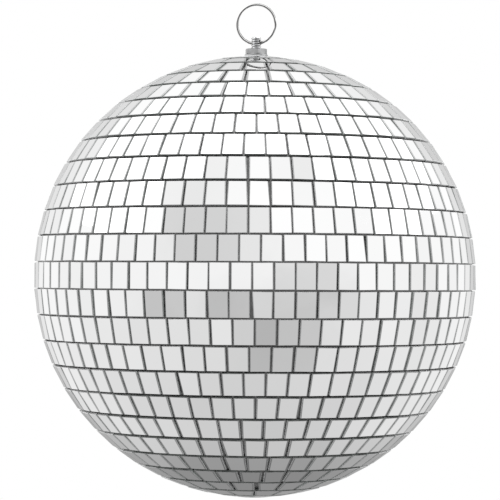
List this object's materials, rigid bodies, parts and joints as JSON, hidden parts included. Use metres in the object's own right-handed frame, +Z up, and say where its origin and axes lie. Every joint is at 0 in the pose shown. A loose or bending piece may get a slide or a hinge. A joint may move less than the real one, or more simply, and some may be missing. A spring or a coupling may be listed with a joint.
{
  "type": "mirror ball",
  "caption": "Hanging ball covered with level rows of small flat mirrors, swinging from a split ring through a threaded stud at its top.",
  "frame": {"origin": "inside the top of the split ring's front turn, where a hook carries it", "axes": "+Z up along the stud and through the ball's poles, X along the stud's cross hole, -Y towards the side shown first"},
  "size_m": [0.2033, 0.2033, 0.2282],
  "materials": {
    "mirror_glass": "silvered glass with ground edges",
    "ring_chrome": "polished nickel plate",
    "plated_steel": "bright zinc plate",
    "plate_steel": "zinc plate",
    "spring_steel": "oiled black",
    "core_plastic": "moulded, matte",
    "dark_glue": "dull, slightly uneven"
  },
  "bodies": {
    "ring": {"split_ring": "ring_chrome"},
    "ball": {"hanger_stud": "plated_steel", "top_nut": "plated_steel", "top_washer": "plated_steel", "pole_plate": "plate_steel", "core_upper": "core_plastic", "core_lower": "core_plastic", "glue_coat_upper": "dark_glue", "glue_coat_lower": "dark_glue", "backing_washer": "plate_steel", "spring_washer": "spring_steel", "inner_nut": "plated_steel", "bottom_pole_mirror": "mirror_glass", "mirror_row_upper_12": "mirror_glass", "mirror_row_upper_11": "mirror_glass", "mirror_row_upper_10": "mirror_glass", "mirror_row_upper_09": "mirror_glass", "mirror_row_upper_08": "mirror_glass", "mirror_row_upper_07": "mirror_glass", "mirror_row_upper_06": "mirror_glass", "mirror_row_upper_05": "mirror_glass", "mirror_row_upper_04": "mirror_glass", "mirror_row_upper_03": "mirror_glass", "mirror_row_upper_02": "mirror_glass", "mirror_row_upper_01": "mirror_glass", "mirror_row_equator": "mirror_glass", "mirror_row_lower_01": "mirror_glass", "mirror_row_lower_02": "mirror_glass", "mirror_row_lower_03": "mirror_glass", "mirror_row_lower_04": "mirror_glass", "mirror_row_lower_05": "mirror_glass", "mirror_row_lower_06": "mirror_glass", "mirror_row_lower_07": "mirror_glass", "mirror_row_lower_08": "mirror_glass", "mirror_row_lower_09": "mirror_glass", "mirror_row_lower_10": "mirror_glass", "mirror_row_lower_11": "mirror_glass", "mirror_row_lower_12": "mirror_glass"}
  },
  "joints": [
    {"name": "ball_swing", "type": "hinge", "parent": "ring", "child": "ball", "pos_m": [0, 0, -0.0173], "axis": [1, 0, 0], "range_deg": [-108, 108]}
  ]
}
